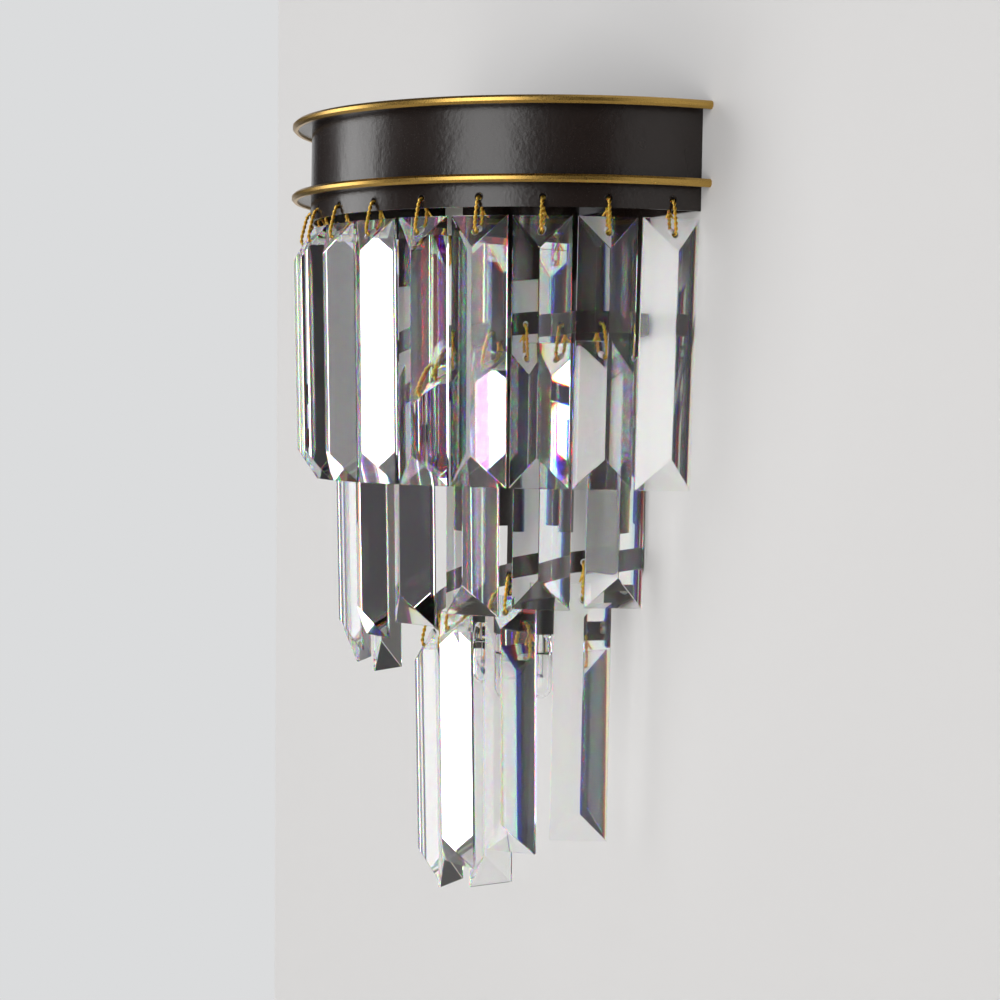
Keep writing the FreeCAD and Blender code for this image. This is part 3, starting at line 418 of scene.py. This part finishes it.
def loop_path(tall, count=96):
    """A closed loop in the outward-upward plane, through the crystal's hole and the band's hole.

    It is a rounded oblong (a superellipse of power 4).  Its front and its rear reach shrink evenly
    towards the top, and its points stand at equal steps along it.
    """
    angle = np.linspace(0, 2 * math.pi, 1201) - math.pi / 2
    wide = np.sign(np.cos(angle)) * np.sqrt(np.abs(np.cos(angle)))
    high = np.sign(np.sin(angle)) * np.sqrt(np.abs(np.sin(angle)))
    up = (tall + SAG) / 2 * (1 + high) - SAG
    share = (up + SAG) / (tall + SAG)
    reach = np.where(wide > 0, FRONT_REACH * (1 - FRONT_TAPER * share), REAR_REACH * (1 - REAR_TAPER * share))
    outline = np.stack([reach * wide, up], axis=1)
    run = np.concatenate([[0.0], np.cumsum(np.linalg.norm(np.diff(outline, axis=0), axis=1))])
    stops = np.arange(count) * run[-1] / count
    return np.stack([np.interp(stops, run, outline[:, 0]), np.interp(stops, run, outline[:, 1])], axis=1)


def make_loops():
    """Each tier's wire loops: two wires twisted together, with two cut ends that stick out behind."""
    for tier in TIERS:
        gathered = Parts()
        joints = [joint for joint in frame["joints"] if "tier_%s_" % tier in joint["name"]]
        for number, joint in enumerate(joints):
            origin, outward, sideways, upward = hanging_frame(joint)
            flat = loop_path(HOLE_DROP + GAP[tier] + HOLE_RISE)
            path = origin + flat[:, :1] * outward + flat[:, 1:] * upward
            along = np.roll(path, -1, axis=0) - np.roll(path, 1, axis=0)
            along /= np.linalg.norm(along, axis=1)[:, None]
            side = np.tile(sideways, (len(path), 1))
            lift = np.cross(along, side)
            for half_turn in (0.0, math.pi):
                wire = tube_along(path, side, lift, WIRE, turns=WIRE_TURNS, offset=WIRE * STRANDS_APART,
                                  phase=half_turn + 0.7 * number)
                gathered.add(wire, grid_faces(len(path), 8, wrap_rows=True))
            knot = origin - outward * KNOT_BACK + upward * (flat[:, 1].max() * KNOT_HEIGHT)
            for hand, reach in TAILS:
                splay = math.radians(SPLAY + SPLAY_VARIES * math.sin(1.7 * number + hand)) * hand
                way = sideways * math.sin(splay) - upward * math.cos(splay) - outward * 0.12
                way /= np.linalg.norm(way)
                run = np.linspace(0, 1, TAIL_RINGS)[:, None]
                tail = knot + way * reach * run - outward * (0.5 * MM * run ** 2)
                across = np.cross(way, outward)
                across /= np.linalg.norm(across)
                side, lift = (np.tile(v, (TAIL_RINGS, 1)) for v in (across, np.cross(way, across)))
                gathered.add(tube_along(tail, side, lift, WIRE), capped(TAIL_RINGS, 8))
        piece = gathered.piece("tier_%s_twisted_wire" % tier, GOLD_WIRE, "fixture", "tier_%s_links" % tier)


def make_punched_rims():
    """A low burr round each wire hole, on the outside of its band: a ring of round section."""
    gathered = Parts()
    turn = np.arange(RIM_RINGS) * 2 * math.pi / RIM_RINGS
    for joint in frame["joints"]:
        tier = joint["name"].split("_")[1]
        origin, outward, sideways, upward = hanging_frame(joint)
        centre = origin + upward * (HOLE_DROP + GAP[tier] + HOLE_RISE) + outward * BAND_HALF
        spoke = np.cos(turn)[:, None] * sideways + np.sin(turn)[:, None] * upward
        ring = centre + spoke * RIM_RADIUS
        gathered.add(tube_along(ring, spoke, np.tile(outward, (RIM_RINGS, 1)), RIM_WIRE, around=6),
                     grid_faces(RIM_RINGS, 6, wrap_rows=True)[:, ::-1])
    gathered.piece("punched_rims", BLACK, "fixture")


# ------------------------------------------------------------------ lamps

# the bulb's sides, wall and near-closed tip, its pressed top, its coil and the two posts of the coil
BULB_SIDES, BULB_WALL = 40, 0.9 * MM
TIP = 0.02 * MM
PRESSED_FROM, PRESSED_BY, PRESSED_TO = 6 * MM, 3.4 * MM, 0.2 * MM
COIL_RINGS, COIL_TURNS, COIL_RADIUS, COIL_WIRE = 121, 12, 0.55 * MM, 0.09 * MM
COIL_RISE, COIL_SPREAD = 9 * MM, 0.42
POST_RINGS, POST_WIRE = 9, 0.22 * MM


def lathe(profile, x, y, around=BULB_SIDES):
    """A profile of (radius, height) pairs turned round an upright axis at x, y."""
    turn = np.arange(around) * 2 * math.pi / around
    radius, height = profile[:, :1], profile[:, 1:]
    return np.stack([x + radius * np.cos(turn), y + radius * np.sin(turn),
                     height + 0 * turn], axis=2).reshape(-1, 3)


def make_lamps():
    """The clear capsules: a thin glass tube with a round end, a pressed top, and a fine coil on two posts."""
    for side in ("right", "left"):
        node = "lamp_capsule_" + side
        low, high = (np.array(corner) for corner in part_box(node))
        x, y = (low[0] + high[0]) / 2, (low[1] + high[1]) / 2
        radius = (high[0] - low[0]) / 2
        arc = np.linspace(-math.pi / 2, 0, 12)
        outer = np.stack([radius * np.cos(arc), low[2] + radius + radius * np.sin(arc)], axis=1)
        outer[0, 0] = TIP
        top = np.array([(radius, high[2] - PRESSED_FROM), (radius * 0.9, high[2] - PRESSED_BY),
                        (radius * 0.9, high[2] - PRESSED_TO), (radius * 0.55, high[2])])
        within = radius - BULB_WALL
        inner = np.stack([within * np.cos(arc), low[2] + radius + within * np.sin(arc)], axis=1)[::-1]
        inner[-1, 0] = TIP
        shoulder = np.array([(TIP, high[2] - 7.6 * MM), (within * 0.8, high[2] - 7.4 * MM),
                             (within, high[2] - 8.4 * MM)])
        envelope = np.concatenate([outer, top, [(TIP, high[2])]])
        cavity = np.concatenate([shoulder, inner])
        gathered = Parts()
        gathered.add(lathe(envelope, x, y), capped(len(envelope), BULB_SIDES))
        gathered.add(lathe(cavity, x, y), capped(len(cavity), BULB_SIDES))
        glass = gathered.piece("lamp_bulb_" + side, LAMP_GLASS, "fixture", node)
        coil = Parts()
        step = np.linspace(0, 1, COIL_RINGS)[:, None]
        turns = 2 * math.pi * COIL_TURNS * step
        spread = radius * COIL_SPREAD
        path = np.concatenate([x + spread * (2 * step - 1), y + COIL_RADIUS * np.cos(turns),
                               low[2] + COIL_RISE + COIL_RADIUS * np.sin(turns)], axis=1)
        along = np.gradient(path, axis=0)
        along /= np.linalg.norm(along, axis=1)[:, None]
        across = np.cross(along, (1.0, 0.0, 0.0))
        across /= np.linalg.norm(across, axis=1)[:, None]
        coil.add(tube_along(path, across, np.cross(along, across), COIL_WIRE, around=5), capped(COIL_RINGS, 5))
        sideways, forward = (np.tile(axis, (POST_RINGS, 1)) for axis in ((1.0, 0, 0), (0, 1.0, 0)))
        for hand in (-1, 1):
            foot = (x + hand * spread, y, low[2] + 8.6 * MM)
            head = (x + hand * spread * 0.8, y, high[2] - 1 * MM)
            post = np.linspace(foot, head, POST_RINGS)
            coil.add(tube_along(post, sideways, forward, POST_WIRE, around=6), capped(POST_RINGS, 6))
        coil.piece("lamp_coil_" + side, STEEL, "fixture")


make_crystals()
make_loops()
make_punched_rims()
make_lamps()


# ------------------------------------------------------------------ stage, camera and light

# the camera fitted to the photo, then the room: bearings are in degrees and lengths in metres
CAMERA_PLACE = (0.8863, -0.4264, -0.0955)
CAMERA_TURN, CAMERA_PITCH, CAMERA_ROLL = (math.radians(v) for v in (65.95, 2.05, 1.06))
ROOM, CEILING, GROUND = 2.4, 1.7, -1.3
WALL_TOP, WALL_LEFT_LOW, WALL_LEFT_HIGH, WALL_RIGHT = 1.5, -0.332, -0.428, 3.0
CLOTH_FOOT = -1.29
WINDOW_LOW, WINDOW_HIGH = -0.95, 1.15


def look():
    """The photograph's camera: it stands to the right of the sconce and a little below its top."""
    data = bpy.data.cameras.new("camera")
    data.lens = 86.4
    data.sensor_width = 36.0
    data.clip_start = 0.01
    data.clip_end = 50.0
    turn, pitch, roll = CAMERA_TURN, CAMERA_PITCH, CAMERA_ROLL
    ahead = np.array([-math.sin(turn) * math.cos(pitch), math.cos(turn) * math.cos(pitch), -math.sin(pitch)])
    right = np.array([math.cos(turn), math.sin(turn), 0.0])
    up = np.cross(right, ahead)
    right, up = (right * math.cos(roll) + up * math.sin(roll), up * math.cos(roll) - right * math.sin(roll))
    camera = bpy.data.objects.new("camera", data)
    bpy.context.scene.collection.objects.link(camera)
    pose = np.eye(4)
    pose[:3, 0], pose[:3, 1], pose[:3, 2] = right, up, -ahead
    pose[:3, 3] = CAMERA_PLACE
    camera.matrix_world = Matrix(pose.tolist())
    bpy.context.scene.camera = camera


def matt(name, colour):
    """A flat painted stage surface, clear from behind."""
    paint = Paint(name)
    face = paint.node("ShaderNodeBsdfPrincipled", {}, {"Base Color": colour, "Roughness": 0.7})
    clear = paint.node("ShaderNodeBsdfTransparent")
    behind = paint.node("ShaderNodeNewGeometry", output="Backfacing")
    return paint.surface(paint.node("ShaderNodeMixShader", {}, {0: behind, 1: face, 2: clear}))


def stage_sheet(name, corners, finish):
    """A flat four cornered piece of the room."""
    mesh = bpy.data.meshes.new(name)
    mesh.from_pydata(corners, [], [(0, 1, 2, 3)])
    mesh.materials.append(finish)
    thing = bpy.data.objects.new(name, mesh)
    bpy.context.scene.collection.objects.link(thing)
    return thing


def soft_box(name, place, target, width, tall, watts):
    """A plain area light at a place, turned to a target."""
    data = bpy.data.lights.new(name, "AREA")
    data.shape = "RECTANGLE"
    data.size, data.size_y = width, tall
    data.energy = watts
    lamp = bpy.data.objects.new(name, data)
    bpy.context.scene.collection.objects.link(lamp)
    place, target = np.array(place, float), np.array(target, float)
    back = (place - target) / np.linalg.norm(place - target)
    side = np.cross((0, 0, 1), back)
    side /= np.linalg.norm(side)
    pose = np.eye(4)
    pose[:3, 0], pose[:3, 1], pose[:3, 2], pose[:3, 3] = side, np.cross(back, side), back, place
    lamp.matrix_world = Matrix(pose.tolist())


def toward(azimuth, distance, height):
    """A point at that bearing from the sconce, counted from +X; the front of the sconce is at 270."""
    turn = math.radians(azimuth)
    return (distance * math.cos(turn), distance * math.sin(turn), height)


def dark_screen(name, start, end, cloth):
    """A dark upright cloth of the studio, between two bearings; only glass and gloss show it."""
    sheet = stage_sheet(name, [toward(end, ROOM, CLOTH_FOOT), toward(start, ROOM, CLOTH_FOOT),
                               toward(start, ROOM, CEILING), toward(end, ROOM, CEILING)], cloth)
    sheet.visible_camera = False


def window(name, start, end, radiance):
    """A tall soft box that fills the span between two bearings; radiance 1 is as bright as a white sheet."""
    middle, half = (start + end) / 2, math.radians(end - start) / 2
    centre, tall = (WINDOW_LOW + WINDOW_HIGH) / 2, WINDOW_HIGH - WINDOW_LOW
    width = 2 * ROOM * math.tan(half)
    soft_box(name, toward(middle, ROOM, centre), (0, 0, centre), width, tall, radiance * math.pi * width * tall)


look()
WALL = matt("wall_paint", rgb(226, 225, 224))
FLOOR = matt("floor_paint", rgb(214, 211, 206))
DARK = matt("dark_cloth", rgb(84, 81, 86))
BLACK_CLOTH = matt("black_cloth", rgb(40, 39, 42))
stage_sheet("wall", [(WALL_LEFT_LOW, 0, GROUND), (WALL_RIGHT, 0, GROUND),
                     (WALL_RIGHT, 0, WALL_TOP), (WALL_LEFT_HIGH, 0, WALL_TOP)], WALL)
stage_sheet("floor", [(-2.0, -3.0, GROUND), (3.0, -3.0, GROUND), (3.0, 0, GROUND), (-2.0, 0, GROUND)], FLOOR)
dark_screen("left_screen", 178.5, 186, DARK)
dark_screen("black_screen", 186, 203, BLACK_CLOTH)
dark_screen("near_screen", 203, 217.5, DARK)
window("left_window", 218, 243.5, 3.0)
dark_screen("middle_screen", 244, 282, DARK)
window("front_window", 283, 311, 3.3)
dark_screen("right_screen", 312, 352, DARK)
overhead = stage_sheet("ceiling_cloth", [(-ROOM, 0, CEILING), (WALL_RIGHT, 0, CEILING),
                                         (WALL_RIGHT, -ROOM, CEILING), (-ROOM, -ROOM, CEILING)], DARK)
overhead.visible_camera = False

world = bpy.data.worlds.new("room")
world.use_nodes = True
bpy.context.scene.world = world
backdrop = world.node_tree.nodes["Background"]
backdrop.inputs["Color"].default_value = rgb(219, 220, 221)
backdrop.inputs["Strength"].default_value = 1.0

scene = bpy.context.scene
scene.view_settings.view_transform = "Standard"
